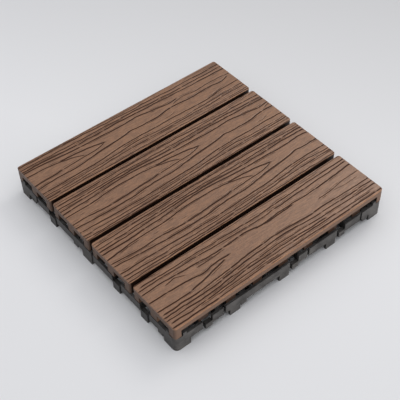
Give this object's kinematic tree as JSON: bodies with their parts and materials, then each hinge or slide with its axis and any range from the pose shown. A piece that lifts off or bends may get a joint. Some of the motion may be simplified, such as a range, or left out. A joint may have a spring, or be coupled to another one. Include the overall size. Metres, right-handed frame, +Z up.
{
  "type": "interlocking deck tile",
  "caption": "Square interlocking deck tile: embossed composite wood slats screwed to a ribbed plastic base with feet, catches and click hooks.",
  "frame": {"origin": "middle of the model's box at ground level; the hooks count in the box", "axes": "+Z up, +X along the slats to the right, +Y across the slats to the back"},
  "size_m": [0.3116, 0.3116, 0.039],
  "materials": {
    "composite": "deep embossed grain, matt",
    "base_plastic": "as moulded",
    "screw_steel": "plain zinc plated"
  },
  "bodies": {
    "root": {"slat_1": "composite", "slat_2": "composite", "slat_3": "composite", "slat_4": "composite", "base_grid": "base_plastic", "screws": "screw_steel"}
  },
  "joints": []
}
